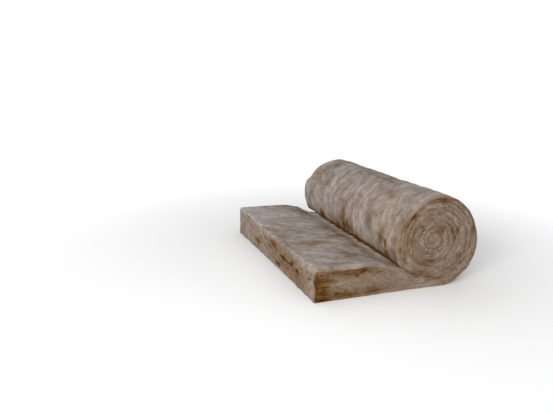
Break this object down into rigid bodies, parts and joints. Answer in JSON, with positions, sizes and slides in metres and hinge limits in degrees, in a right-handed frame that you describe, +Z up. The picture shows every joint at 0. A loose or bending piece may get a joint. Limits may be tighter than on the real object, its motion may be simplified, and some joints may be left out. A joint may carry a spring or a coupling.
{
  "type": "insulation roll",
  "caption": "Mat of brown glass wool wound up on itself, with its outermost length laid out flat on the floor and a narrow nip where the roll comes down on it.",
  "frame": {"origin": "on the floor, at the middle of the object's length and width", "axes": "+X along the mat, from its free end to the wound roll; +Y across the mat, along the roll's axis; +Z up"},
  "size_m": [0.4692, 0.6, 0.2463],
  "materials": {
    "glass_wool": "matt, fibrous, greyish brown"
  },
  "bodies": {
    "root": {"wool_mat": "glass_wool"}
  },
  "joints": []
}
